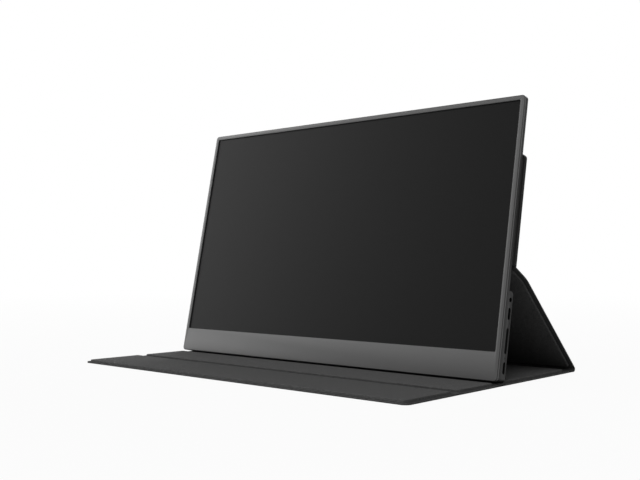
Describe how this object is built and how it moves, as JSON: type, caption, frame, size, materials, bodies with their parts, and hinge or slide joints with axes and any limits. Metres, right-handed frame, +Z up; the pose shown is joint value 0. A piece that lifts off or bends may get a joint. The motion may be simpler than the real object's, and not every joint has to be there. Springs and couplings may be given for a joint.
{
  "type": "portable monitor with cover",
  "caption": "Flat portable monitor standing upright in a folding board cover: flaps lie in front, a leg behind holds the screen, with sockets and a rocker key on one side.",
  "frame": {"origin": "middle of the floor area, on the desk", "axes": "+X to the viewer's right along the screen, +Y to the back, +Z up"},
  "size_m": [0.3548, 0.2318, 0.2176],
  "materials": {
    "bezel_plastic": "fine matt, mid grey-black",
    "housing_plastic": "fine matt, black",
    "gasket_rubber": "matt black",
    "screen_surface": "anti-glare dark grey",
    "cell_glass": "dark glass",
    "optical_film": "milky white",
    "guide_plastic": "clear, faint green edge",
    "reflector_film": "white",
    "led_strip": "pale yellow",
    "frame_plastic": "black",
    "sheet_steel": "bright sheet",
    "board_green": "green solder mask",
    "flex_amber": "amber film",
    "screw_steel": "bright",
    "socket_steel": "dark plated shell",
    "jack_plastic": "black",
    "key_plastic": "black",
    "switch_plastic": "grey",
    "light_plastic": "smoky clear",
    "speaker_plastic": "black",
    "cover_skin": "grained artificial leather, near black",
    "cover_lining": "soft matt lining, charcoal",
    "cover_board": "fibre board",
    "grip_rubber": "matt ribbed",
    "magnet_metal": "plated"
  },
  "bodies": {
    "base": {"rear_base_skin": "cover_skin", "rear_base_board": "cover_board", "rear_base_lining": "cover_lining", "groove_lining": "cover_lining", "groove_strip": "grip_rubber", "spine_strip": "cover_skin"},
    "middle_flap": {"middle_flap_skin": "cover_skin", "middle_flap_board": "cover_board", "middle_flap_lining": "cover_lining"},
    "front_flap": {"front_flap_skin": "cover_skin", "front_flap_board": "cover_board", "front_flap_lining": "cover_lining"},
    "leg": {"leg_skin": "cover_skin", "leg_board": "cover_board", "leg_lining": "cover_lining"},
    "rocker": {"rocker_key": "key_plastic"},
    "screen": {"front_bezel": "bezel_plastic", "rear_housing": "housing_plastic", "screen_gasket": "gasket_rubber", "screen_polariser": "screen_surface", "lcd_cell": "cell_glass", "optical_films": "optical_film", "light_guide": "guide_plastic", "reflector_sheet": "reflector_film", "led_strip": "led_strip", "panel_frame": "frame_plastic", "panel_backplate": "sheet_steel", "driver_board": "board_green", "driver_flexes": "flex_amber", "main_board": "board_green", "panel_cable": "flex_amber", "shield_can": "sheet_steel", "upper_usb_c_port": "socket_steel", "lower_usb_c_port": "socket_steel", "headphone_jack": "jack_plastic", "key_switches": "switch_plastic", "status_light_pipe": "light_plastic", "left_speaker": "speaker_plastic", "right_speaker": "speaker_plastic", "board_screws": "screw_steel", "keeper_plates": "sheet_steel", "back_panel_skin": "cover_skin", "back_panel_board": "cover_board", "back_panel_lining": "cover_lining", "back_panel_magnets": "magnet_metal"}
  },
  "joints": [
    {"name": "leg_fold", "type": "hinge", "parent": "base", "child": "leg", "pos_m": [0, 0.11366, 0.0022], "axis": [-1, 0, 0], "range_deg": [0, 136]},
    {"name": "top_fold", "type": "hinge", "parent": "leg", "child": "screen", "pos_m": [0, 0.02006, 0.08584], "axis": [1, 0, 0], "range_deg": [0, 56]},
    {"name": "middle_flap_fold", "type": "hinge", "parent": "base", "child": "middle_flap", "pos_m": [0, -0.00726, 0.0019], "axis": [-1, 0, 0], "range_deg": [0, 45]},
    {"name": "front_flap_fold", "type": "hinge", "parent": "middle_flap", "child": "front_flap", "pos_m": [0, -0.05651, 0.003], "axis": [-1, 0, 0], "range_deg": [0, 95]},
    {"name": "rocker_tilt", "type": "hinge", "parent": "screen", "child": "rocker", "pos_m": [0.1735, 0.00832, 0.0321], "axis": [0, 0.9796, -0.2011], "range_deg": [-2.5, 2.5], "stiffness_Nm_per_rad": 0.05}
  ],
  "couplings": [
    {"joint": "top_fold", "follows": "leg_fold", "ratio": 0.41}
  ]
}
